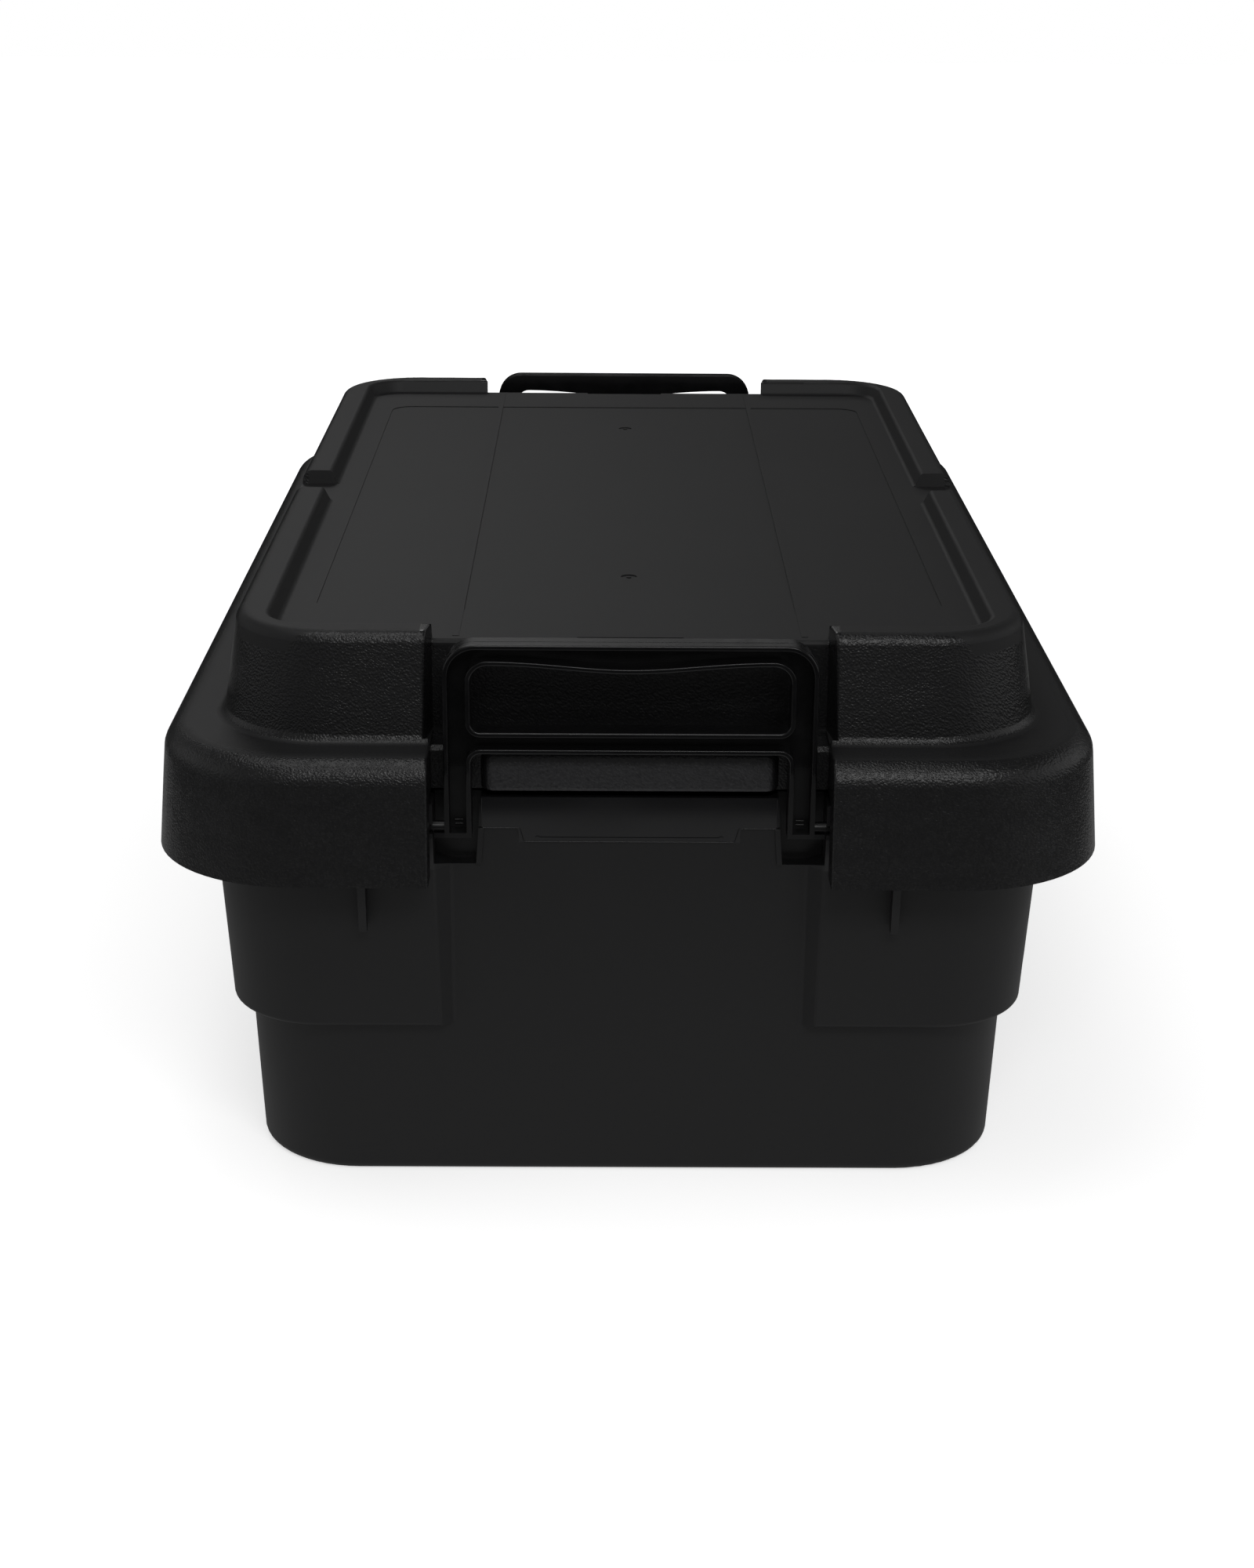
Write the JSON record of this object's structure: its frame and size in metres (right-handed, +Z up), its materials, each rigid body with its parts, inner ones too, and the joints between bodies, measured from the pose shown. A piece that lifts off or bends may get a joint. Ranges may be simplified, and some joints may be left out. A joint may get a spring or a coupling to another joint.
{
  "type": "utility storage box",
  "caption": "Rectangular black plastic storage box with a deep lift-off lid, a raised ridge round its top panel, and a latch handle that swings on the rim at each end.",
  "frame": {"origin": "centre of the bounding box at the bottom, with the box closed", "axes": "+Z up, +Y along the length towards the rear handle, the front end at -Y, +X to the right when the front end is faced"},
  "size_m": [0.39, 0.6, 0.24],
  "materials": {
    "container": "fine matte moulded polypropylene",
    "lid": "leather-grained sides and fine matte top, moulded polypropylene",
    "handle": "polished moulded polypropylene"
  },
  "bodies": {
    "container": {"container": "container"},
    "lid": {"lid": "lid"},
    "front_handle": {"front_handle": "handle"},
    "rear_handle": {"rear_handle": "handle"}
  },
  "joints": [
    {"name": "lid_lift", "type": "slide", "parent": "container", "child": "lid", "axis": [0, 0, 1], "range_m": [0, 0.06]},
    {"name": "front_handle_swing", "type": "hinge", "parent": "container", "child": "front_handle", "pos_m": [0, -0.278, 0.1627], "axis": [1, 0, 0], "range_deg": [0, 180]},
    {"name": "rear_handle_swing", "type": "hinge", "parent": "container", "child": "rear_handle", "pos_m": [0, 0.278, 0.1627], "axis": [-1, 0, 0], "range_deg": [0, 180]}
  ],
  "couplings": [
    {"joint": "front_handle_swing", "follows": "lid_lift", "rad_per_m": 52.3},
    {"joint": "rear_handle_swing", "follows": "lid_lift", "rad_per_m": 52.3}
  ]
}
